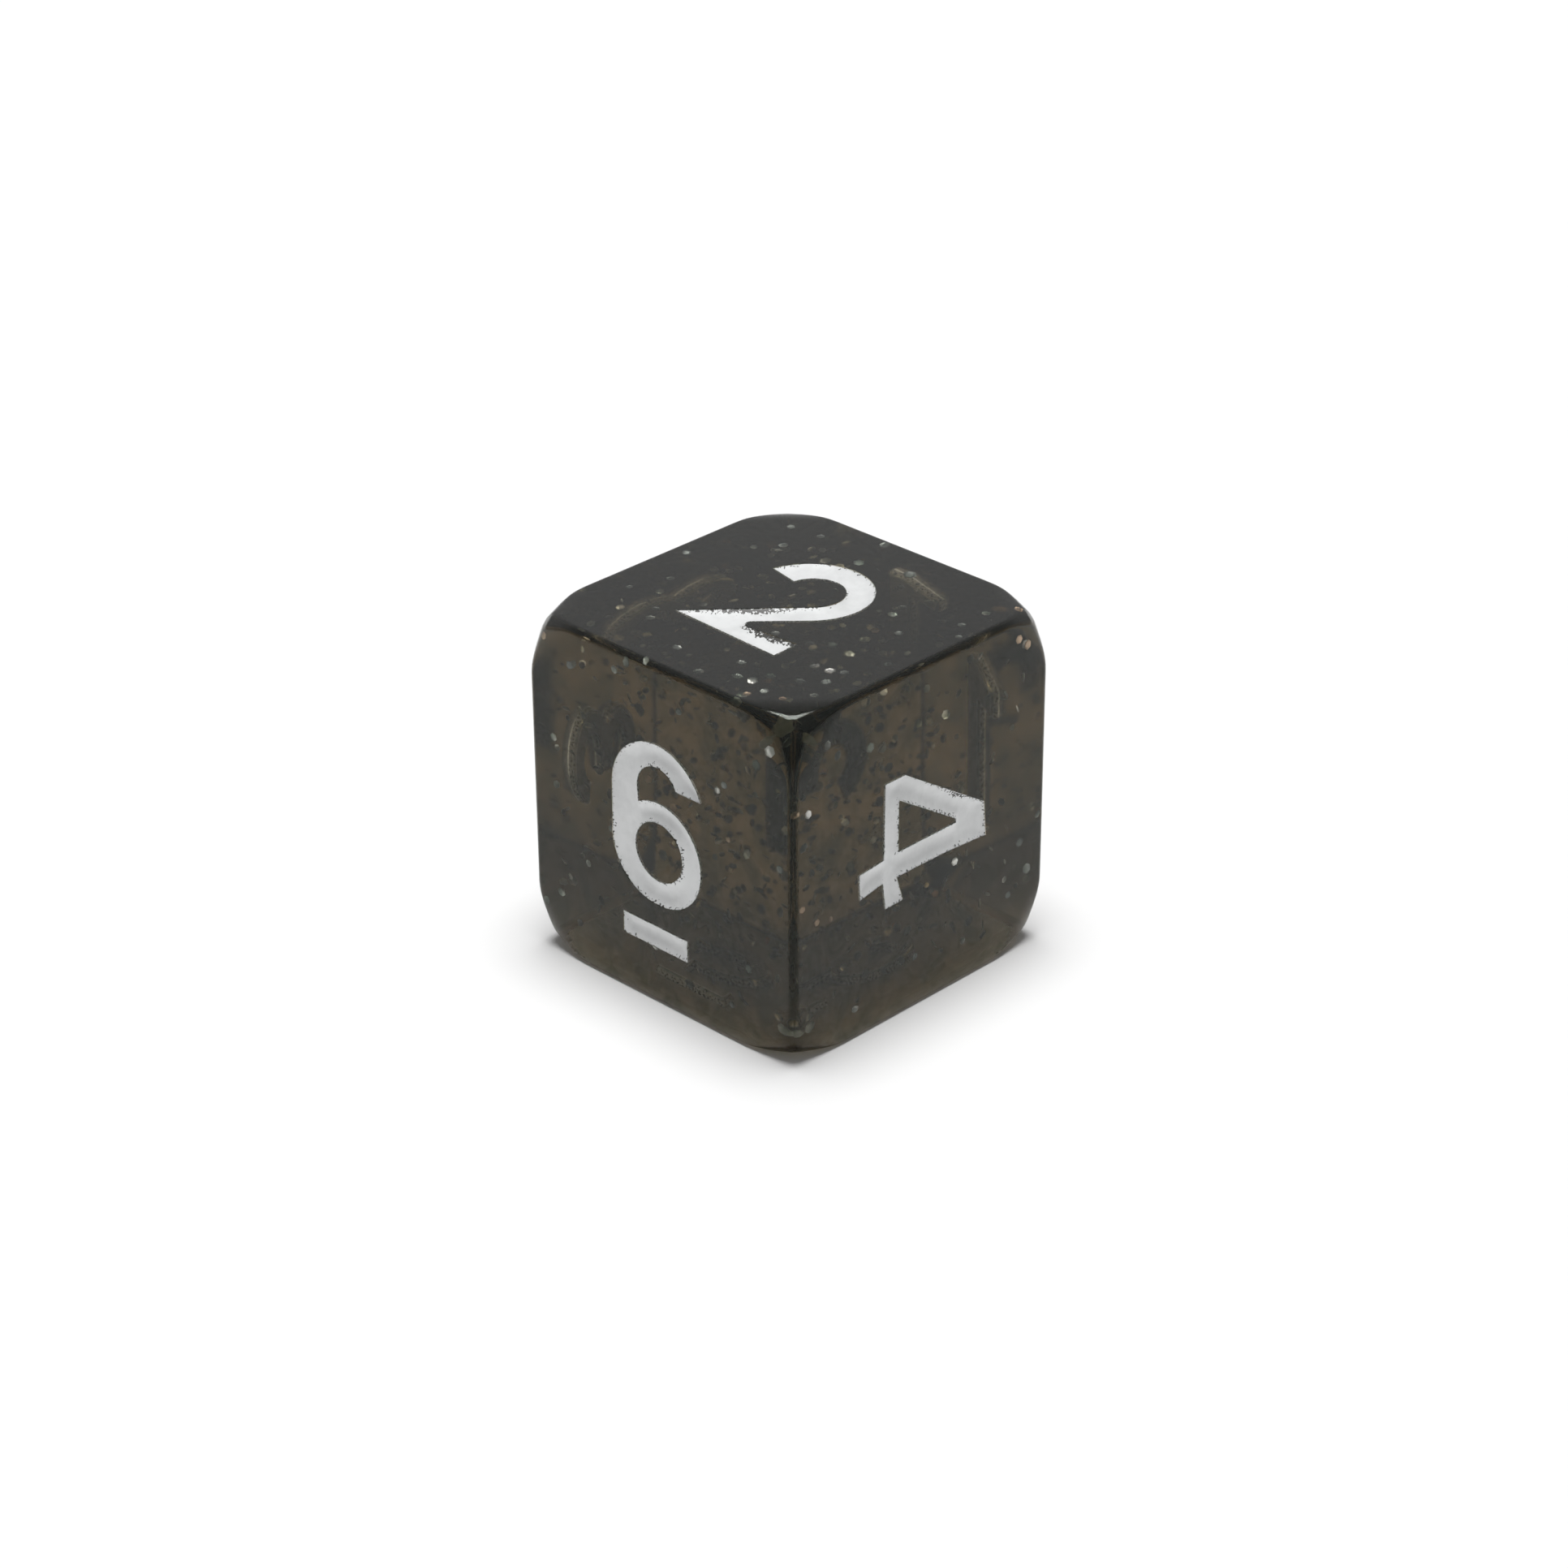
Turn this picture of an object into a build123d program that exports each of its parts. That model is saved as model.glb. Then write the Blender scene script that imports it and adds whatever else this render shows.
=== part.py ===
from build123d import *
import os
from math import sqrt
from random import Random

# A numbered six-sided die of tinted clear resin, as a polyhedral set has it. The numerals are
# engraved and filled with white paint, and loose glitter is cast into the resin.
# Millimetres, +Z up. The origin is the middle of the face that the die rests on.

# Body
die_height = 16.0  # across the 2 and the 5
die_width = 15.45  # across the other two pairs, which tumbling wears more
edge_radius = 0.35  # polished rounding of every edge
corner_cut = 1.0  # how far the ball-tumbled corners fall short of the sharp corner, along the diagonal

# Numerals, drawn on a grid GRID_HEIGHT units tall and scaled to numeral_height
GRID_HEIGHT = 8.0
numeral_height = 7.85
groove_depth = 0.45
paint_recess = 0.12  # the paint dries this far below the face

# Glitter: hexagonal foil flakes, as kind: (width across corners, count, seed)
flake_kinds = {
    "silver_glitter_coarse": (0.44, 70, 11),
    "silver_glitter_fine": (0.28, 60, 23),
    "copper_glitter": (0.40, 24, 37),
}
flake_thickness = 0.05
flake_cover = 0.35  # least resin between a flake's middle plane and a groove floor
flake_gap = 0.25  # least resin between two flakes

half_size = Vector(die_width / 2, die_width / 2, die_height / 2)
centre = Vector(0, 0, die_height / 2)
corner_ball_radius = half_size.length - corner_cut


def ring_sector(centre, middle_radius, width, start, sweep):
    """A stroke bent round centre: its middle line runs from angle start through sweep degrees."""
    with BuildSketch() as stroke:
        with BuildLine():
            outside = CenterArc(centre, middle_radius + width / 2, start, sweep)
            inside = CenterArc(centre, middle_radius - width / 2, start, sweep)
            Line(outside @ 0, inside @ 0)
            Line(outside @ 1, inside @ 1)
        make_face()
    return stroke.sketch


def draw_one():
    with BuildSketch() as one:
        with BuildLine():
            Polyline((0.2, 4.3), (1.2, 4.35), (1.15, -3.85), (-0.2, -3.9), (-0.15, 2.3), (-1.8, 1.7),
                     (-1.8, 2.95), close=True)
        make_face()
    return one.sketch


def draw_two():
    """A hook that runs straight into a diagonal, which a foot bar closes below."""
    diagonal = 46.5  # degrees above level
    crotch = (-0.35, -2.7)
    with BuildSketch() as two:
        with BuildLine():
            hook = CenterArc((-0.32, 1.6), 2.84, diagonal - 90, 257.4 - diagonal)
            eye = CenterArc((-0.12, 1.65), 1.42, diagonal - 90, 260.0 - diagonal)
            Line(hook @ 1, eye @ 1)
            Polyline(eye @ 0, (-3.15, -3.58), (2.85, -3.8), (2.82, -2.42), crotch, hook @ 0)
        make_face()
        fillet(two.vertices().sort_by_distance(crotch)[0], 0.3)
    return two.sketch


def draw_three():
    with BuildSketch() as three:
        add(ring_sector((-0.2, 2.3), 1.5, 1.2, -95, 255))
        add(ring_sector((-0.1, -1.0), 1.7, 1.25, -165, 260))
        with Locations((-0.55, 0.75)):
            Rectangle(1.1, 1.15)
    return three.sketch


def draw_four():
    """Three straight strokes that flare at their ends, round a closed triangle."""
    with BuildSketch() as four:
        with BuildLine():
            Polyline((-0.15, 3.85), (1.52, 3.98), (1.36, 1.6), (1.34, -1.6), (2.6, -1.2), (2.6, -2.3),
                     (1.3, -2.47), (1.55, -3.85), (0.35, -3.92), (0.2, -2.42), (-3.35, -2.35),
                     (-3.35, -1.15), close=True)
        make_face()
        with BuildLine():
            Polyline((-2.3, -1.5), (0.16, -1.5), (0.16, 2.05), (-0.04, 2.05), close=True)
        make_face(mode=Mode.SUBTRACT)
    return four.sketch


def draw_five():
    """A flag on a short stem, which leans into a bowl."""
    middle = (-0.3, -0.95)
    with BuildSketch() as five:
        with BuildLine():
            bowl = CenterArc(middle, 2.42, -160, 270)
            eye = CenterArc(middle, 1.18, -160, 300)
            Line(bowl @ 0, eye @ 0)
            Polyline(bowl @ 1, (-0.95, 3.1), (2.05, 3.05), (2.1, 4.35), (-2.1, 4.3), (-2.4, 0.05),
                     eye @ 1)
        make_face()
    return five.sketch


def draw_six():
    """A tall hook whose foot closes into a round bowl."""
    with BuildSketch() as six:
        with BuildLine():
            hook = CenterArc((-0.08, 1.67), 2.75, 20, 160)
            heel = CenterArc((-0.25, -0.65), 2.62, 180, 90)
            bowl = CenterArc((0.0, -0.8), 2.47, -90, 210)
            inner = CenterArc((-0.08, 2.15), 1.2, 22, 158)
            Line(hook @ 1, heel @ 0)
            Line(heel @ 1, bowl @ 0)
            Line(bowl @ 1, inner @ 1)
            Line(inner @ 0, hook @ 0)
        make_face()
        with Locations((-0.05, -0.7)):
            Circle(1.4, mode=Mode.SUBTRACT)
    return six.sketch


def draw_underline():
    """The bar that tells a six from a nine."""
    with BuildSketch() as underline:
        with Locations((-0.37, -4.9)):
            Rectangle(3.9, 1.05)
    return underline.sketch


# Each numeral's face, as the way it reads and the way it faces. Opposite faces add up to seven.
numerals = {
    "numeral_1_paint": (draw_one, (-1, 0, 0), (0, 1, 0)),
    "numeral_2_paint": (draw_two, (1, 0, 0), (0, 0, 1)),
    "numeral_3_paint": (draw_three, (0, 0, 1), (-1, 0, 0)),
    "numeral_4_paint": (draw_four, (0, 0, -1), (1, 0, 0)),
    "numeral_5_paint": (draw_five, (1, 0, 0), (0, 0, -1)),
    "numeral_6_paint": (draw_six, (1, 0, 0), (0, -1, 0)),
    "underline_6_paint": (draw_underline, (1, 0, 0), (0, -1, 0)),
}


def face_plane(reading, facing):
    """The plane of the face that faces that way, with its X along the reading direction."""
    out = Vector(facing)
    to_face = abs(out.X * half_size.X + out.Y * half_size.Y + out.Z * half_size.Z)
    return Plane(centre + out * to_face, x_dir=reading, z_dir=facing)


def flake_planes(width, count, rng, taken):
    """Planes of count flakes at random in the resin, clear of the grooves and of those in taken."""
    cover = groove_depth + flake_cover + width / 2
    planes = []
    while len(planes) < count:
        place = Vector(*(rng.uniform(cover - side, side - cover) for side in half_size))
        facing = Vector(*(rng.gauss(0, 1) for _ in range(3)))
        clear = all((place - other).length > (width + size) / 2 + flake_gap for other, size in taken)
        inside = place.length + width < corner_ball_radius - flake_cover
        if clear and inside:
            taken.append((place, width))
            planes.append(Plane(centre + place, z_dir=facing))
    return planes


# Grooves: one cutter for each numeral, and the paint that fills its lower part
grooves, paints = {}, {}
for name, (draw, reading, facing) in numerals.items():
    face = face_plane(reading, facing)
    with BuildPart() as groove:
        with BuildSketch(face):
            scale(draw(), by=numeral_height / GRID_HEIGHT)
        extrude(amount=-groove_depth)
    grooves[name] = groove.part

    with BuildPart() as paint:
        add(groove.part)
        split(bisect_by=face.offset(-paint_recess), keep=Keep.BOTTOM)
    paint.part.label = name
    paints[name] = paint.part

# Glitter: each kind is one group of separate flakes
glitter, taken = {}, []
for name, (width, count, seed) in flake_kinds.items():
    with BuildPart() as flakes:
        with BuildSketch(*flake_planes(width, count, Random(seed), taken)):
            RegularPolygon(width / 2, 6)
        extrude(amount=flake_thickness / 2, both=True)
    flakes.part.label = name
    glitter[name] = flakes.part

# Body: a block whose corners are turned off by a ball, engraved, and cast round the glitter
with BuildPart() as die_body:
    with Locations(centre):
        Box(die_width, die_width, die_height)
        Sphere(corner_ball_radius, mode=Mode.INTERSECT)
    fillet(die_body.edges(), edge_radius)
    for cutter in grooves.values():
        add(cutter, mode=Mode.SUBTRACT)
    for flakes in glitter.values():
        add(flakes, mode=Mode.SUBTRACT)
die_body.part.label = "die_body"

os.makedirs("parts", exist_ok=True)
export_step(die_body.part, "parts/die_body.step")
for name, part in {**paints, **glitter}.items():
    export_step(part, f"parts/{name}.step")
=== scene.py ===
import math

import bmesh
import bpy
import numpy as np
from mathutils import Matrix, Vector
from mathutils.geometry import delaunay_2d_cdt


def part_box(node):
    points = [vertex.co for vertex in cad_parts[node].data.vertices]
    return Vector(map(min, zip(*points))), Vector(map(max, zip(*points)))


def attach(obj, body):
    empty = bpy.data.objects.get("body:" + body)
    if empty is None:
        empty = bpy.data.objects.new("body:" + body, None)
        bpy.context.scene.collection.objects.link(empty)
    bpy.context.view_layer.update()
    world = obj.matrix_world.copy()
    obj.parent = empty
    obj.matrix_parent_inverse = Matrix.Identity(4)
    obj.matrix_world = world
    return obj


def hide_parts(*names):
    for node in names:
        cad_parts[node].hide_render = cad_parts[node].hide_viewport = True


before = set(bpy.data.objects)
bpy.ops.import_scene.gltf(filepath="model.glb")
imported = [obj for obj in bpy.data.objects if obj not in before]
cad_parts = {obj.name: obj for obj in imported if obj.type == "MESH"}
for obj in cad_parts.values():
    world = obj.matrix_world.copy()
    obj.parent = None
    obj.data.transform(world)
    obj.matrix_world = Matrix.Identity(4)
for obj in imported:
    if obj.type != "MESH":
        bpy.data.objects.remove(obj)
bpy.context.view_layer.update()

# ---- Resin body ------------------------------------------------------------------------------
# One clear casting, smoke tinted. It leaves the mould as a sharp cube, tumbling rounds its corners
# to a ball and polishing rounds its edges. Each numeral is a groove sunk in its face.
MM = 0.001
low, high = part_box("die_body")
centre = (low + high) / 2
half_size = np.array(high - low) / 2
edge_radius = 0.35 * MM
corner_radius = 1.1 * MM  # what the edges' rounding grows to at a corner
growth_start = 0.64  # share of the way from an edge's middle to a corner where that growth starts
corner_ball = 13.0 * MM  # radius of the ball the corners are tumbled to
corner_blend = 1.2 * MM  # how gently a face turns into that ball
groove_depth = 0.45 * MM
floor_inset = 0.16  # mm that a groove's floor is narrower than its mouth, on each side
cutter_rise = 0.30  # mm that a groove's cutter stands proud of its face
groove_rim = math.radians(32)  # the body's turns steeper than this stay crisp


def mesh_piece(name, points, faces, material):
    """A mesh object at the origin. Faces list their points anticlockwise as seen from outside, and
    points that fall together become one, which closes seams."""
    mesh = bpy.data.meshes.new(name)
    mesh.from_pydata(np.asarray(points).tolist(), [], [[int(i) for i in face] for face in faces])
    shell = bmesh.new()
    shell.from_mesh(mesh)
    bmesh.ops.remove_doubles(shell, verts=shell.verts, dist=0.0005 * MM)
    bmesh.ops.dissolve_degenerate(shell, edges=shell.edges, dist=0.0001 * MM)
    shell.to_mesh(mesh)
    shell.free()
    mesh.shade_smooth()
    mesh.materials.append(material)
    piece = bpy.data.objects.new(name, mesh)
    bpy.context.scene.collection.objects.link(piece)
    return piece


class Signal:
    """A socket of a material's nodes. Arithmetic on it adds Math nodes, and node() adds any other."""

    def __init__(self, tree, socket=None):
        self.tree, self.socket = tree, socket

    def node(self, kind, settings, values, output=0):
        """A node of that kind: its settings first, then its sockets' values or links, by name or index."""
        made = self.tree.nodes.new(kind)
        for key, value in settings.items():
            if key == "stops":
                for stop, (place, colour) in zip(stops_of(made.color_ramp, len(value)), value):
                    stop.position, stop.color = place, (*colour, 1.0)
            else:
                setattr(made, key, value)
        for key, value in values.items():
            if isinstance(value, Signal):
                self.tree.links.new(value.socket, made.inputs[key])
            else:
                made.inputs[key].default_value = value
        return Signal(self.tree, made.outputs[output])

    def math(self, operation, *others):
        """This signal and others through a Math node."""
        values = dict(enumerate((self, *others)))
        return self.node("ShaderNodeMath", {"operation": operation}, values)

    def __add__(self, other):
        return self.math("ADD", other)

    def __sub__(self, other):
        return self.math("SUBTRACT", other)

    def __rsub__(self, other):
        return self.node("ShaderNodeMath", {"operation": "SUBTRACT"}, {0: other, 1: self})

    def __mul__(self, other):
        return self.math("MULTIPLY", other)

    __radd__, __rmul__ = __add__, __mul__


def stops_of(ramp, count):
    """The ramp's stops, after it is given as many as count."""
    while len(ramp.elements) < count:
        ramp.elements.new(1.0)
    return ramp.elements


def new_finish(name):
    """A material with only its output, as (material, a Signal to build from, the output node)."""
    material = bpy.data.materials.new(name)
    material.use_nodes = True
    tree = material.node_tree
    tree.nodes.clear()
    return material, Signal(tree), tree.nodes.new("ShaderNodeOutputMaterial")


def smoke_resin():
    """Clear resin that takes up more blue than red on the way through. Polishing leaves a faint waviness,
    and the dye lies in clouds."""
    material, start, output = new_finish("smoke_resin")
    place = start.node("ShaderNodeTexCoord", {}, {}, output="Object")
    swell = start.node("ShaderNodeTexNoise", {}, {"Vector": place, "Scale": 260.0, "Detail": 1.0})
    normal = start.node("ShaderNodeBump", {}, {"Strength": 0.12, "Distance": 0.02 * MM, "Height": swell})
    cloud = start.node("ShaderNodeTexNoise", {}, {
        "Vector": place, "Scale": 480.0, "Detail": 5.0, "Distortion": 1.2,
    })
    tint = start.node("ShaderNodeValToRGB", {"stops": [
        (0.38, (0.36, 0.42, 0.34)), (0.58, (1.0, 1.0, 1.0)),
    ]}, {"Fac": cloud})
    surface = start.node("ShaderNodeBsdfPrincipled", {}, {
        "Base Color": tint, "Roughness": 0.09, "IOR": 1.5, "Specular Tint": (0.46, 0.5, 0.46, 1.0),
        "Transmission Weight": 1.0, "Normal": normal,
    })
    volume = start.node("ShaderNodeVolumeAbsorption", {}, {
        "Color": (0.36, 0.26, 0.04, 1.0), "Density": 262.0,
    })
    start.tree.links.new(surface.socket, output.inputs["Surface"])
    start.tree.links.new(volume.socket, output.inputs["Volume"])
    return material


def outside_by(points):
    """How far each point is outside the body, counting negative inside. It is the greater of two distances,
    to a box with round edges and to a ball, with a round blend where both are near. The edges' radius
    grows by a smooth step, 3 t^2 - 2 t^3, towards the corners."""
    share = np.sort(np.abs(points) / half_size, axis=1)
    near_corner = np.clip((share[:, 0] / share[:, 2] - growth_start) / (1 - growth_start), 0, 1)
    radius = edge_radius + (corner_radius - edge_radius) * near_corner ** 2 * (3 - 2 * near_corner)
    over = np.abs(points) - half_size
    box = np.minimum(over.max(1), -radius) + np.linalg.norm(np.maximum(over + radius[:, None], 0), axis=1)
    ball = np.linalg.norm(points, axis=1) - corner_ball
    ridge = np.minimum(np.maximum(box, ball), -corner_blend)
    return ridge + np.hypot(np.maximum(box + corner_blend, 0), np.maximum(ball + corner_blend, 0))


def polished_cube():
    """Points and faces of the body without its grooves. A grid on each side of a cube gives rays from the
    middle, and each is cut to the length where outside_by is zero, which is closed in on by halving. The
    grid's lines crowd at the edges."""
    finer, finest = 0.5, 0.92  # where the lines draw together, as shares of the half size
    crowded = np.concatenate([np.linspace(finer, finest, 16, endpoint=False), np.linspace(finest, 1.0, 20)])
    side = np.concatenate([-crowded[::-1], np.linspace(-0.4, 0.4, 5), crowded])
    count = len(side)
    u, v = np.meshgrid(side, side, indexing="ij")
    index = np.arange(count * count).reshape(count, count)
    quads = np.stack([index[:-1, :-1], index[1:, :-1], index[1:, 1:], index[:-1, 1:]], -1)
    rays, faces = [], []
    for axis in range(3):
        for sign in (1, -1):
            square = np.stack([u, v * sign, np.full_like(u, sign)], -1).reshape(-1, 3)
            faces.append(quads.reshape(-1, 4) + len(rays) * count * count)
            rays.append(np.roll(square, axis, axis=1))
    rays = np.concatenate(rays) * half_size
    short, long = np.full(len(rays), 0.5), np.full(len(rays), 1.01)
    halvings = 50
    for _ in range(halvings):
        length = (short + long) / 2
        out = outside_by(rays * length[:, None]) > 0
        long, short = np.where(out, length, long), np.where(out, short, length)
    return np.array(centre) + rays * short[:, None], np.concatenate(faces)


# The numerals' outlines, in grid units on the face with the face's middle as origin. The first loop runs
# anticlockwise round the stroke and the others clockwise round its holes, so the stroke is on the left.
def arc(middle, radius, start, sweep):
    """Points round middle, from angle start through sweep degrees, one every four degrees."""
    angle = np.radians(np.linspace(start, start + sweep, max(2, round(abs(sweep) / 4) + 1)))
    return np.stack([middle[0] + radius * np.cos(angle), middle[1] + radius * np.sin(angle)], -1)


def numeral_one():
    return [np.array([(1.2, 4.35), (0.2, 4.3), (-1.8, 2.95), (-1.8, 1.7), (-0.15, 2.3), (-0.2, -3.9),
                      (1.15, -3.85)])]


def numeral_two():
    diagonal = 46.5  # degrees above level
    hook = arc((-0.32, 1.6), 2.84, diagonal - 90, 257.4 - diagonal)
    eye = arc((-0.12, 1.65), 1.42, 170, diagonal - 260)
    foot = [(-3.15, -3.58), (2.85, -3.8), (2.82, -2.42)]
    crotch = arc((0.16, -2.35), 0.3, 265, -128)
    return [np.concatenate([hook, eye, foot, crotch])]


def numeral_three():
    bowl = arc((-0.1, -1.0), 2.325, -165, 217)
    top = arc((-0.2, 2.3), 2.1, -38, 198)
    top_eye = arc((-0.2, 2.3), 0.9, 160, -251)
    bar = [(-1.1, 1.325), (-1.1, 0.175)]
    eye = arc((-0.1, -1.0), 1.075, 93, -258)
    return [np.concatenate([bowl, top, top_eye, bar, eye])]


def numeral_four():
    outside = np.array([(-0.15, 3.85), (-3.35, -1.15), (-3.35, -2.35), (0.2, -2.42), (0.35, -3.92),
                        (1.55, -3.85), (1.3, -2.47), (2.6, -2.3), (2.6, -1.2), (1.34, -1.6), (1.36, 1.6),
                        (1.52, 3.98)])
    return [outside, np.array([(-2.3, -1.5), (-0.04, 2.05), (0.16, 2.05), (0.16, -1.5)])]


def numeral_five():
    bowl = arc((-0.3, -0.95), 2.42, -160, 270)
    flag = [(-0.95, 3.1), (2.05, 3.05), (2.1, 4.35), (-2.1, 4.3), (-2.4, 0.05)]
    eye = arc((-0.3, -0.95), 1.18, 140, -300)
    return [np.concatenate([bowl, flag, eye])]


def numeral_six():
    hook = arc((-0.08, 1.67), 2.75, 20, 160)
    heel = arc((-0.25, -0.65), 2.62, 180, 90)
    bowl = arc((0.0, -0.8), 2.47, -90, 210)
    inner = arc((-0.08, 2.15), 1.2, 180, -158)
    return [np.concatenate([hook, heel, bowl, inner]), arc((-0.05, -0.7), 1.4, 0, -356)]


def underline():
    return [np.array([(-2.32, -5.425), (1.58, -5.425), (1.58, -4.375), (-2.32, -4.375)])]


grid_unit = 7.85 / 8  # mm, which makes the numerals 7.85 mm tall

# Each painted groove by its node, with the way it reads and the way its face looks.
numerals = {
    "numeral_1_paint": (numeral_one, (-1, 0, 0), (0, 1, 0)),
    "numeral_2_paint": (numeral_two, (1, 0, 0), (0, 0, 1)),
    "numeral_3_paint": (numeral_three, (0, 0, 1), (-1, 0, 0)),
    "numeral_4_paint": (numeral_four, (0, 0, -1), (1, 0, 0)),
    "numeral_5_paint": (numeral_five, (1, 0, 0), (0, 0, -1)),
    "numeral_6_paint": (numeral_six, (1, 0, 0), (0, -1, 0)),
    "underline_6_paint": (underline, (1, 0, 0), (0, -1, 0)),
}


def inset(loop, distance):
    """The loop moved to its left by distance, each point along the bisector of its two sides. A sharp
    corner moves less far than its sides would take it."""
    least_share = 0.35
    ahead = np.roll(loop, -1, axis=0) - loop
    ahead /= np.linalg.norm(ahead, axis=1)[:, None]
    left = np.stack([-ahead[:, 1], ahead[:, 0]], -1)
    before = np.roll(left, 1, axis=0)
    share = 1 + (left * before).sum(1)
    return loop + distance * (left + before) / np.maximum(share, least_share)[:, None]


def inside(points, loops):
    """Whether each point is in the stroke: a ray to its right crosses the loops an odd number of times."""
    odd = np.zeros(len(points), bool)
    for loop in loops:
        for a, b in zip(loop, np.roll(loop, -1, axis=0)):
            between = (a[1] > points[:, 1]) != (b[1] > points[:, 1])
            if a[1] != b[1]:
                crossing = a[0] + (points[:, 1] - a[1]) * (b[0] - a[0]) / (b[1] - a[1])
                odd ^= between & (points[:, 0] < crossing)
    return odd


def distance_to(points, loops):
    """Distance from each point to the nearest side of the loops."""
    nearest = np.full(len(points), np.inf)
    for loop in loops:
        for a, b in zip(loop, np.roll(loop, -1, axis=0)):
            along = np.clip((points - a) @ (b - a) / max(((b - a) ** 2).sum(), 1e-12), 0, 1)
            nearest = np.minimum(nearest, np.linalg.norm(points - a - along[:, None] * (b - a), axis=1))
    return nearest


def filled(loops, spacing=None):
    """Points and triangles that fill the stroke, with a grid of inner points if spacing is given. Inner
    points nearly on the outline are left out."""
    clearance = 0.45  # of the spacing
    points = np.concatenate(loops)
    edges, first = [], 0
    for loop in loops:
        edges += [(first + i, first + (i + 1) % len(loop)) for i in range(len(loop))]
        first += len(loop)
    if spacing:
        across = [np.arange(points[:, k].min(), points[:, k].max(), spacing) for k in (0, 1)]
        grid = np.stack(np.meshgrid(*across), -1).reshape(-1, 2)
        clear = inside(grid, loops) & (distance_to(grid, loops) > spacing * clearance)
        points = np.concatenate([points, grid[clear]])
    found = delaunay_2d_cdt([Vector(p) for p in points], edges, [], 0, 1e-5)
    corners = np.array([tuple(p) for p in found[0]])
    triangles = np.array([face for face in found[2]])
    kept = inside(corners[triangles].mean(1), loops)
    return corners, triangles[kept]


def on_face(points, heights, reading, facing):
    """Points of a face's own plane, in millimetres, as points in space. Heights count outwards."""
    across, out = np.array(reading, float), np.array(facing, float)
    up = np.cross(out, across)
    level = np.array(centre) + out * half_size
    return level + MM * (points[:, :1] * across + points[:, 1:] * up + np.reshape(heights, (-1, 1)) * out)


def stroke_solid(loops, profile, reading, facing, top=None, spacing=None):
    """Points and faces of a closed solid along a stroke. The profile is a list of (inset, height) rings from
    the lid down, and top gives the lid's height from a point's distance to its edge."""
    points, faces, first = [], [], 0
    for loop in loops:
        count = len(loop)
        index = np.arange(count)
        for inward, height in profile:
            points.append(on_face(inset(loop, inward), np.full(count, height), reading, facing))
        for ring in range(len(profile) - 1):
            a = first + ring * count + index
            b = first + ring * count + (index + 1) % count
            faces.append(np.stack([b, a, a + count, b + count], -1))
        first += count * len(profile)
    for (inward, height), flip, shape in ((profile[0], 1, top), (profile[-1], -1, None)):
        edge = [inset(loop, inward) for loop in loops]
        corners, triangles = filled(edge, spacing if shape else None)
        heights = np.full(len(corners), height)
        if shape:
            heights += shape(distance_to(corners, edge))
        points.append(on_face(corners, heights, reading, facing))
        faces.append(triangles[:, ::flip] + first)
        first += len(corners)
    return np.concatenate(points), [face for block in faces for face in block]


def groove_cutters():
    """One closed solid for each groove, which leans in and rounds into its floor."""
    profile = [(0.0, cutter_rise), (0.0, 0.0), (0.03, -0.25), (0.07, -0.38),
               (floor_inset, -groove_depth / MM)]
    points, faces, first = [], [], 0
    for outline, reading, facing in numerals.values():
        p, f = stroke_solid([grid_unit * loop for loop in outline()], profile, reading, facing)
        points.append(p)
        faces += [face + first for face in f]
        first += len(p)
    return np.concatenate(points), faces


def cut_away(piece, tool):
    """Cut the tool's solid out of the piece, then remove the tool."""
    cut = piece.modifiers.new("cut", "BOOLEAN")
    cut.object, cut.operation, cut.solver = tool, "DIFFERENCE", "EXACT"
    bpy.context.view_layer.update()
    shape = bpy.data.meshes.new_from_object(piece.evaluated_get(bpy.context.evaluated_depsgraph_get()))
    piece.modifiers.clear()
    piece.data = shape
    bpy.data.objects.remove(tool)


resin = smoke_resin()
resin_body = mesh_piece("resin_body", *polished_cube(), resin)
cut_away(resin_body, mesh_piece("groove_cutters", *groove_cutters(), resin))
resin_body.data.shade_smooth()
resin_body.data.set_sharp_from_angle(angle=groove_rim)
weighted = resin_body.modifiers.new("flat_faces_stay_flat", "WEIGHTED_NORMAL")
weighted.keep_sharp = True
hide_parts("die_body")
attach(resin_body, "root")

# ---- White paint -----------------------------------------------------------------------------
# Enamel wiped into each groove. It wets the walls, so it reaches a hair into the resin, and it
# sinks in the middle of a stroke as it dries.
paint_overlap = 0.012  # mm into the groove's wall and floor
paint_edge = -0.03  # mm, where the paint meets the wall
paint_dish = 0.20  # mm that it sinks by mid stroke
stroke_half = 0.66  # mm from a wall to the middle of a stroke
paint_spacing = 0.11  # mm between the points of its surface
paint_rim = math.radians(40)  # the paint's turns steeper than this stay crisp
wear_and_shade_needed = 1.32  # how strong the noise has to be for a near-black speck at the wall, where the paint is worn through and the bare wall is given painted shade
wear_and_shade_falloff = 2.4  # how much stronger it has to be for each mm from the wall
wear_and_shade_crispness = 6.0  # how suddenly a dark speck of worn paint and painted shade ends
wear_and_shade_depth = 0.20  # mm by which the middle of a worn spot counts as nearer to the wall, so more of the painted shade gathers there
# Places where the paint is worn most and its near-black painted shade gathers: across, up, reach, in mm
worn_and_shaded_spots = {"numeral_2_paint": [(-1.5, -1.3, 1.3), (-0.4, -0.3, 1.0), (0.9, -2.4, 0.9), (2.0, -2.35, 0.9)],
              "numeral_4_paint": [(-1.0, 2.0, 0.6)]}


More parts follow.
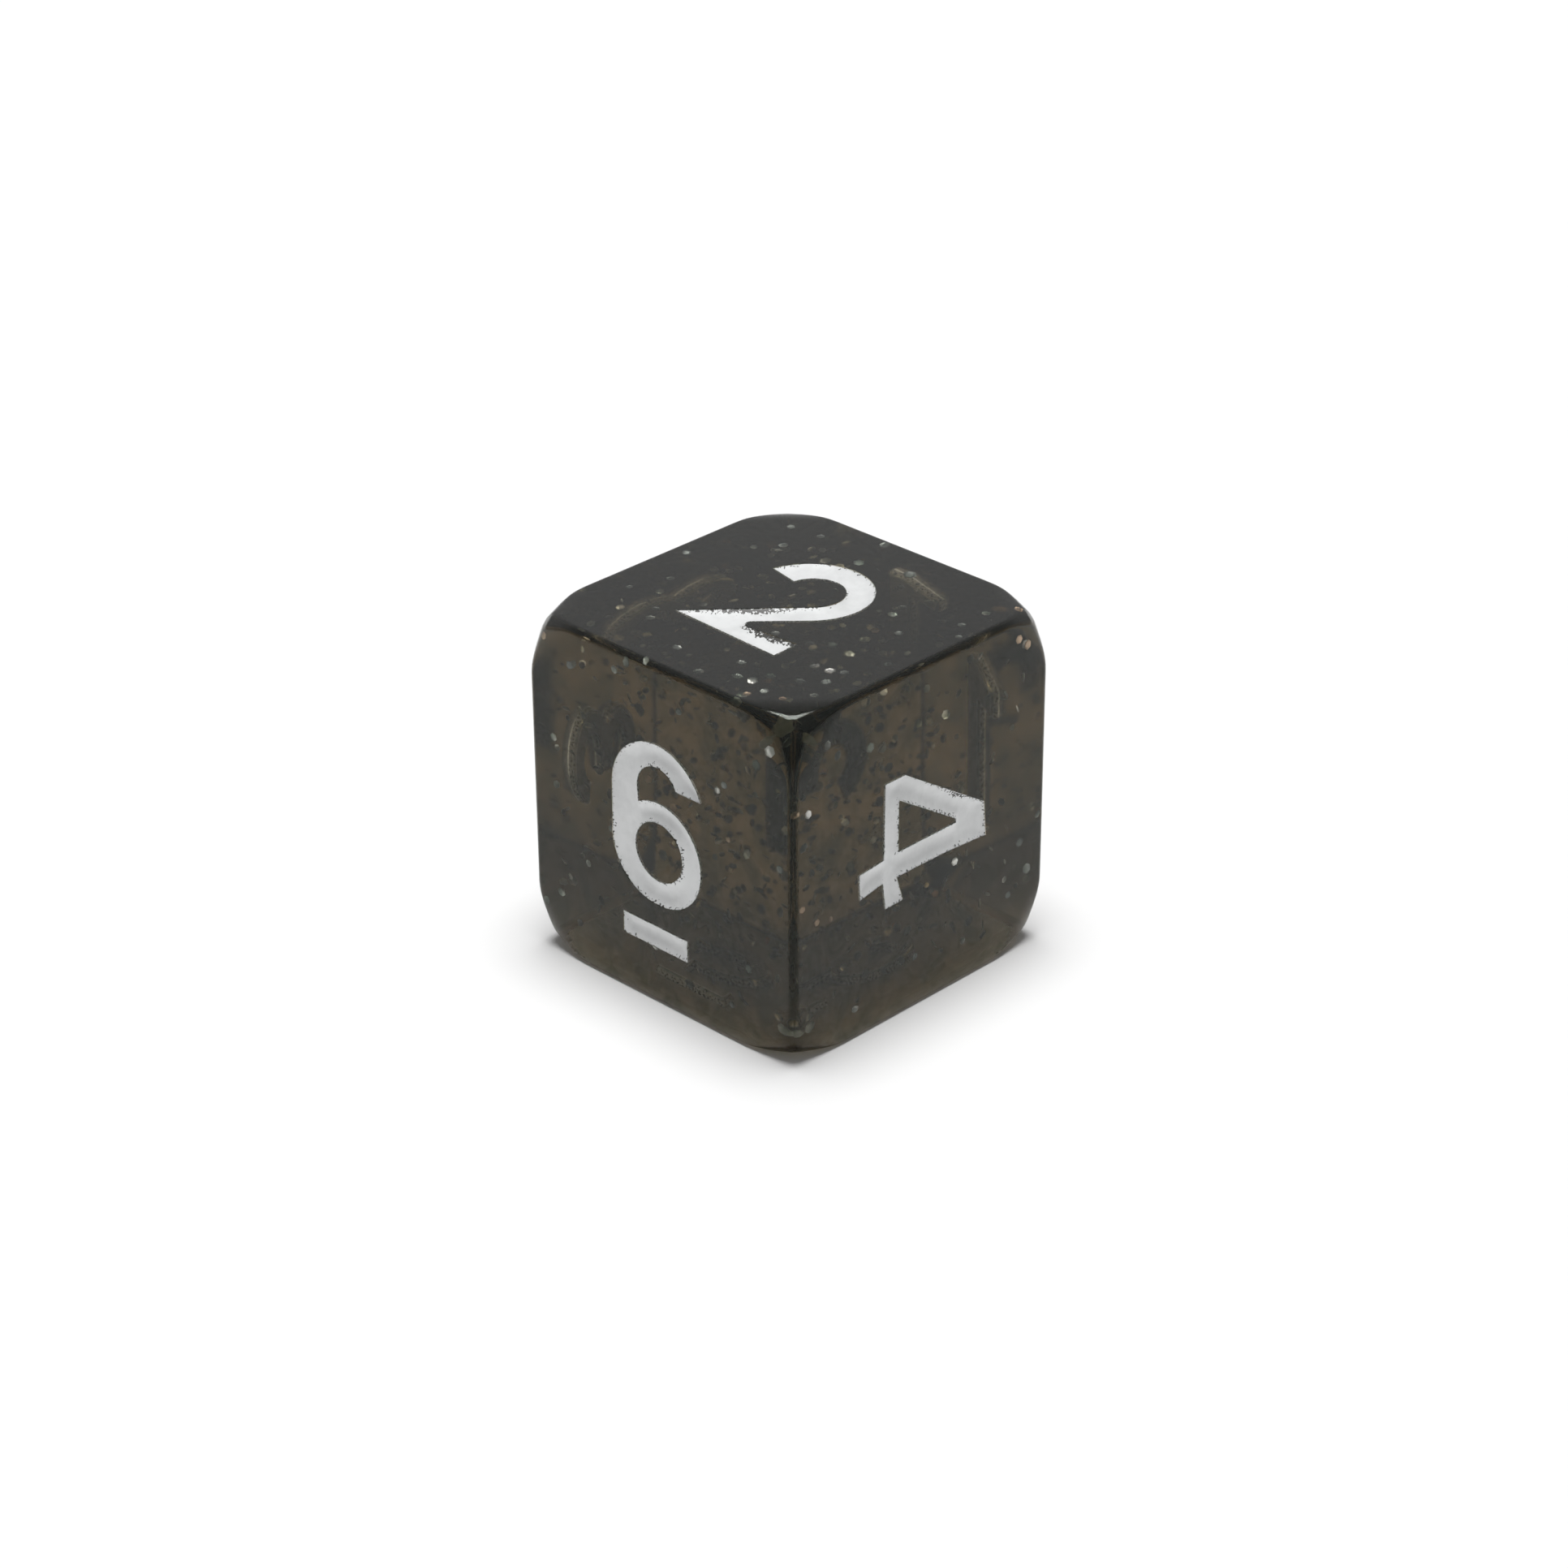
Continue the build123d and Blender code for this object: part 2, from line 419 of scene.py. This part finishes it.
def white_paint():
    """Matt white with a faint grain. It is worn through in specks and patches along the groove's walls, and
    there it is near-black: painted shade for the bare wall seen through the worn paint.
    """
    material, start, output = new_finish("white_paint")
    place = start.node("ShaderNodeTexCoord", {}, {}, output="Object")
    grain = start.node("ShaderNodeTexNoise", {}, {"Vector": place, "Scale": 3000.0, "Detail": 3.0})
    specks = start.node("ShaderNodeTexNoise", {}, {"Vector": place, "Scale": 9000.0, "Detail": 1.0})
    patch = start.node("ShaderNodeTexNoise", {}, {"Vector": place, "Scale": 420.0, "Detail": 1.0})
    from_wall = start.node("ShaderNodeAttribute", {"attribute_name": "from_wall"}, {}, output="Fac")
    white = start.node("ShaderNodeValToRGB", {"stops": [
        (0.35, (0.66, 0.67, 0.67)), (0.6, (0.76, 0.77, 0.77)),
    ]}, {"Fac": patch * 0.6 + grain * 0.4})
    # Dark specks by the groove walls: the paint is worn through there, and the bare wall is painted
    # near-black as painted shade.
    worn_and_shaded = start.node("ShaderNodeValToRGB", {"stops": [
        (0.0, (0.0, 0.0, 0.0)), (1.0, (1.0, 1.0, 1.0)),
    ]}, {"Fac": (specks * 2.0 + patch * 0.6 - from_wall * wear_and_shade_falloff - wear_and_shade_needed) * wear_and_shade_crispness})
    colour = start.node("ShaderNodeMix", {"data_type": "RGBA"}, {
        "Factor": worn_and_shaded, 6: white, 7: (0.035, 0.034, 0.031, 1.0),
    }, output=2)
    normal = start.node("ShaderNodeBump", {}, {"Strength": 0.5, "Distance": 0.01 * MM, "Height": grain})
    surface = start.node("ShaderNodeBsdfPrincipled", {}, {
        "Base Color": colour, "Roughness": 0.45, "Normal": normal,
    })
    start.tree.links.new(surface.socket, output.inputs["Surface"])
    return material


def dished(distance):
    """Height of the paint's surface over its edge, in mm: -paint_dish (1 - (1 - d / stroke_half)^2) at
    distance d from the edge, which levels out at mid stroke."""
    return -paint_dish * (1 - (1 - np.clip(distance / stroke_half, 0, 1)) ** 2)


def mark_wear_and_shade(piece, loops, reading, facing, spots):
    """Store each point's distance from the groove's wall, in mm, for the paint to read as from_wall. Round a
    worn spot, where the worn paint's near-black painted shade gathers, it is less, by the wear depth times
    exp(-(d / reach)^2) at distance d from the spot."""
    places = np.empty(len(piece.data.vertices) * 3)
    piece.data.vertices.foreach_get("co", places)
    across, out = np.array(reading, float), np.array(facing, float)
    on_plane = (places.reshape(-1, 3) - centre) @ np.stack([across, np.cross(out, across)], -1) / MM
    wall_distance_less_spots = distance_to(on_plane, loops)
    for u, v, reach in spots:
        wall_distance_less_spots -= wear_and_shade_depth * np.exp(-((on_plane - (u, v)) ** 2).sum(1) / reach ** 2)
    piece.data.attributes.new("from_wall", "FLOAT", "POINT").data.foreach_set("value", wall_distance_less_spots)


paint = white_paint()
floor_height = -groove_depth / MM - paint_overlap
for node, (outline, reading, facing) in numerals.items():
    profile = [(-paint_overlap, paint_edge), (0.02 - paint_overlap, -0.25),
               (floor_inset - paint_overlap, floor_height)]
    loops = [grid_unit * loop for loop in outline()]
    solid = stroke_solid(loops, profile, reading, facing, top=dished, spacing=paint_spacing)
    piece = mesh_piece(node.replace("paint", "enamel"), *solid, paint)
    mark_wear_and_shade(piece, loops, reading, facing, worn_and_shaded_spots.get(node, []))
    piece.data.set_sharp_from_angle(angle=paint_rim)
    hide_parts(node)
    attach(piece, "root")

# ---- Glitter ---------------------------------------------------------------------------------
# Hexagons punched from metallised film, stirred into the resin before it sets. The three kinds that
# are nodes of the frame keep their shapes. The scattered ones between them, and those that the mould
# left lying along the top, left and right faces, are made here.
def foil(name, stops):
    """Foil that the resin has dulled, with a bright flake here and there."""
    material, start, output = new_finish(name)
    place = start.node("ShaderNodeTexCoord", {}, {}, output="Object")
    patch = start.node("ShaderNodeTexNoise", {}, {"Vector": place, "Scale": 1100.0, "Detail": 0.0})
    colour = start.node("ShaderNodeValToRGB", {"stops": stops}, {"Fac": patch})
    surface = start.node("ShaderNodeBsdfPrincipled", {}, {
        "Base Color": colour, "Metallic": 1.0, "Roughness": 0.38,
    })
    start.tree.links.new(surface.socket, output.inputs["Surface"])
    return material


silver = foil("silver_foil", [(0.40, (0.10, 0.11, 0.10)), (0.62, (0.26, 0.27, 0.25)),
                              (0.70, (0.90, 0.90, 0.88))])
copper = foil("copper_foil", [(0.40, (0.24, 0.17, 0.11)), (0.62, (0.62, 0.45, 0.32))])
for node, finish in (("silver_glitter_coarse", silver), ("silver_glitter_fine", silver),
                     ("copper_glitter", copper)):
    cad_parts[node].data.materials.clear()
    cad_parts[node].data.materials.append(finish)

rng = np.random.default_rng(5)


def dished_flakes(places, widths, out):
    """Points and faces of one flake at each place, square to its out direction. Each is a closed hexagon
    of even thickness, whose rim stands above its flat middle."""
    flat, rise, thickness = 0.6, 0.05, 0.04  # shares of the width, flat being the middle's
    out = out / np.linalg.norm(out, axis=1)[:, None]
    across = np.cross(out, rng.normal(size=out.shape))
    across /= np.linalg.norm(across, axis=1)[:, None]
    up = np.cross(out, across)
    angle = np.arange(6) * math.pi / 3
    ring = np.cos(angle)[None, :, None] * across[:, None] + np.sin(angle)[None, :, None] * up[:, None]
    ring = ring * widths[:, None, None] / 2
    lift = out[:, None] * widths[:, None, None]
    rows = [ring + lift * rise, ring * flat, ring * flat - lift * thickness, ring + lift * (rise - thickness)]
    points = np.concatenate(rows, 1) + places[:, None]
    bands = [(0, 1), (2, 3), (3, 0)]  # pairs of rows with a band of faces between them
    faces = [[6 * a + k, 6 * a + (k + 1) % 6, 6 * b + (k + 1) % 6, 6 * b + k]
             for a, b in bands for k in range(6)]
    faces += [list(range(6, 12)), list(range(17, 11, -1))]
    faces = [[i + 24 * n for i in face] for n in range(len(places)) for face in faces]
    return points.reshape(-1, 3), faces


scattered_count = 460
scattered_cover = 0.5 * MM  # least resin between a scattered flake's middle and a groove floor
reach = half_size - groove_depth - scattered_cover
scattered_places = np.array(centre) + rng.uniform(-reach, reach, (scattered_count, 3))
scattered_widths = rng.uniform(0.28, 0.55, scattered_count) * MM
lying_flat = (0.6, 0.6, 1.0)  # settling leaves more of them level than on edge
scattered_out = rng.normal(size=(scattered_count, 3)) * lying_flat
scattered_flakes = dished_flakes(scattered_places, scattered_widths, scattered_out)
scattered = mesh_piece("glitter_fine_extra", *scattered_flakes, silver)
scattered.data.shade_flat()
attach(scattered, "root")

# Flakes along three faces, each (across, up, width) in millimetres as its face's numeral reads.
along_top = [(3.95, -5.1, 0.5), (3.0, -1.8, 0.45), (3.65, -1.2, 0.4), (1.3, -2.1, 0.4), (5.25, -3.0, 0.5),
             (4.6, -3.2, 0.45), (5.85, -2.8, 0.4), (-0.7, -5.85, 0.45), (1.55, -6.8, 0.5), (3.0, -6.05, 0.5),
             (3.6, -5.75, 0.5), (5.1, -4.6, 0.5), (5.9, -3.9, 0.45), (4.7, -6.2, 0.4), (6.3, -5.0, 0.4),
             (-3.5, -4.6, 0.45), (-3.9, -3.9, 0.4), (-4.4, 4.2, 0.45), (-4.2, 3.7, 0.4), (-0.85, 5.15, 0.5),
             (1.5, 5.8, 0.6), (-1.3, 7.3, 0.55), (-5.5, 5.8, 0.4), (-3.9, 6.0, 0.4), (3.35, 3.35, 0.4),
             (3.55, 2.5, 0.45), (6.3, 3.75, 0.4), (6.35, 5.2, 0.4), (7.0, 2.8, 0.35), (5.0, 1.35, 0.4),
             (-6.9, 0.85, 0.4), (-5.6, -1.4, 0.4), (-6.2, -3.2, 0.35), (6.6, -1.0, 0.4), (2.2, -5.0, 0.4)]
along_left = [(5.6, 5.45, 0.5), (3.3, 3.45, 0.35), (3.8, 3.9, 0.35), (-6.2, -5.0, 0.45), (-7.2, -5.8, 0.4),
              (-3.05, -0.75, 0.35), (-0.5, -5.4, 0.4), (5.0, -4.25, 0.4), (-2.55, 6.9, 0.4),
              (-1.9, 7.4, 0.4), (-0.8, 7.8, 0.35), (6.3, 6.3, 0.5), (-5.2, 6.2, 0.4), (1.2, 6.3, 0.35),
              (-6.4, 2.4, 0.4), (6.9, 1.2, 0.4), (4.1, -6.3, 0.35), (-4.4, -2.9, 0.35)]
along_right = [(4.25, 6.65, 0.5), (2.8, 6.2, 0.45), (1.85, 7.3, 0.4), (-5.25, -3.1, 0.45), (6.65, -3.95, 0.4),
               (2.1, 2.1, 0.4), (5.1, 5.5, 0.35), (4.3, 5.35, 0.35), (-3.6, -6.7, 0.4), (-5.6, -5.0, 0.45),
               (-6.3, -5.6, 0.45), (-6.6, 6.2, 0.4), (5.7, -0.3, 0.35), (-2.2, -7.0, 0.5), (6.2, 2.7, 0.35)]
copper_top = [(5.6, -6.1, 0.35), (4.3, -6.8, 0.35), (6.9, 6.6, 0.4)]
copper_left = [(5.2, 5.1, 0.45), (3.9, 1.4, 0.3), (-6.9, 6.9, 0.35)]
copper_right = [(5.7, -0.3, 0.3), (-3.8, -7.3, 0.35), (0.6, -7.1, 0.35), (1.6, -6.2, 0.35), (1.7, -5.5, 0.3),
                (-6.5, 6.4, 0.45), (-6.9, 5.9, 0.4)]


shallowest, deepest = 0.12, 0.4  # mm below the face
lean = 0.14  # how far a flake leans off its face, as a slope
top_left_right = [numerals[node][1:] for node in ("numeral_2_paint", "numeral_6_paint", "numeral_4_paint")]


def along_faces(name, marks_by_face, finish):
    """One mesh of flakes near the top, left and right faces, each almost parallel to its face."""
    settled = []
    for marks, (reading, facing) in zip(marks_by_face, top_left_right):
        marks = np.array(marks)
        below = rng.uniform(shallowest, deepest, len(marks))
        tilt = rng.normal(scale=lean, size=(len(marks), 3))
        settled.append((on_face(marks[:, :2], -below, reading, facing), marks[:, 2] * MM,
                        np.array(facing) + tilt))
    places, widths, out = (np.concatenate(parts) for parts in zip(*settled))
    flakes = mesh_piece(name, *dished_flakes(places, widths, out), finish)
    flakes.data.shade_flat()
    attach(flakes, "root")


along_faces("silver_glitter_along_faces", (along_top, along_left, along_right), silver)
along_faces("copper_glitter_along_faces", (copper_top, copper_left, copper_right), copper)

# ---- Floor, light and camera -----------------------------------------------------------------
# A white table under a wide overhead softbox, in a pale room. The room is a little darker towards the
# horizon, and its own light on matt surfaces is weak, so that the softbox does most of the lighting.
floor_material, start, output = new_finish("floor")
surface = start.node("ShaderNodeBsdfDiffuse", {}, {"Color": (0.93, 0.93, 0.93, 1.0)})
start.tree.links.new(surface.socket, output.inputs["Surface"])
wide = 3.0  # m from the middle to each side
floor = mesh_piece("floor", [(-wide, -wide, low.z), (wide, -wide, low.z), (wide, wide, low.z),
                             (-wide, wide, low.z)], [(0, 1, 2, 3)], floor_material)

scene = bpy.context.scene
scene.view_settings.view_transform = "Standard"
horizon_glow, overhead_gain = 0.52, 0.3  # the room as it is mirrored and seen through the resin
matt_glow = 0.2  # the room as it lights matt surfaces
world = bpy.data.worlds.new("studio")
scene.world = world
world.use_nodes = True
world.node_tree.nodes.clear()
sky = Signal(world.node_tree)
diffuse = sky.node("ShaderNodeLightPath", {}, {}, output="Is Diffuse Ray")
upward = sky.node("ShaderNodeSeparateXYZ", {}, {
    "Vector": sky.node("ShaderNodeTexCoord", {}, {}, output="Generated")}, output="Z")
level = (horizon_glow + upward * overhead_gain) * (1.0 - diffuse) + diffuse * matt_glow
glow = sky.node("ShaderNodeBackground", {}, {"Color": (1.0, 1.0, 1.0, 1.0), "Strength": level})
sky_output = world.node_tree.nodes.new("ShaderNodeOutputWorld")
world.node_tree.links.new(glow.socket, sky_output.inputs["Surface"])

overhead = bpy.data.lights.new("overhead_softbox", "SUN")
overhead.energy, overhead.angle = 2.85, math.radians(28)
lamp = bpy.data.objects.new("overhead_softbox", overhead)
scene.collection.objects.link(lamp)

azimuth, elevation, roll = (math.radians(a) for a in (44.31, 28.07, -0.26))
distance = 0.1737  # m
back = Vector((math.sin(azimuth) * math.cos(elevation), -math.cos(azimuth) * math.cos(elevation),
               math.sin(elevation)))
right = Vector((math.cos(azimuth), math.sin(azimuth), 0.0))
up = back.cross(right)
turned_right = right * math.cos(roll) + up * math.sin(roll)
turned_up = up * math.cos(roll) - right * math.sin(roll)
lens = bpy.data.cameras.new("camera")
lens.sensor_width, lens.lens = 36.0, 93.88
lens.shift_x, lens.shift_y = -0.0034, -0.0055
lens.clip_start = 0.001
camera = bpy.data.objects.new("camera", lens)
scene.collection.objects.link(camera)
camera.matrix_world = Matrix.Translation(centre + back * distance) @ Matrix(
    (turned_right, turned_up, back)).transposed().to_4x4()
scene.camera = camera
